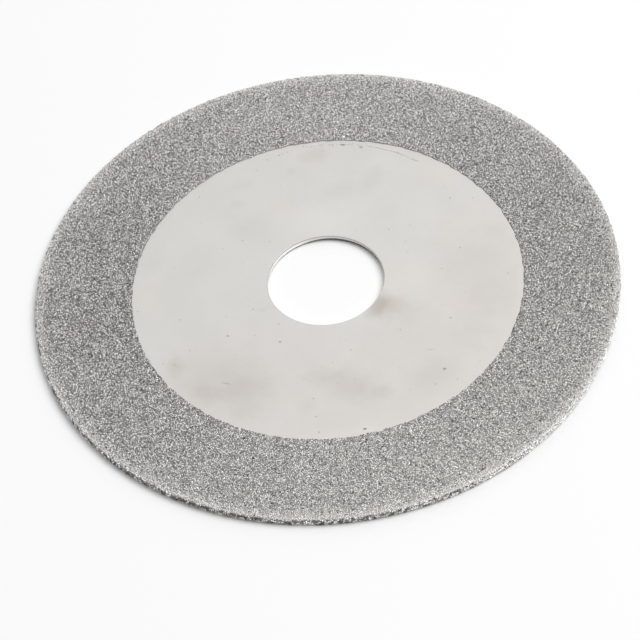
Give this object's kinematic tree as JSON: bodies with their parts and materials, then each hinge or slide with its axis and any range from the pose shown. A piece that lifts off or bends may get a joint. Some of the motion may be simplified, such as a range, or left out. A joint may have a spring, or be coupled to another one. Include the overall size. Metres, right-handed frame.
{
  "type": "diamond-coated grinding disc",
  "caption": "Flat steel grinding disc with a round arbor bore and a band of plated diamond grit round both faces and the rim.",
  "frame": {"origin": "centre of the arbor bore on the disc's mid-plane", "axes": "+Z along the bore's axis, square to the faces, with the face that the picture shows upwards; X and Y lie in the mid-plane"},
  "size_m": [0.1, 0.1, 0.0016],
  "materials": {
    "steel": "satin",
    "diamond_grit": "rough"
  },
  "bodies": {
    "root": {"steel_blank": "steel", "diamond_coat": "diamond_grit"}
  },
  "joints": []
}
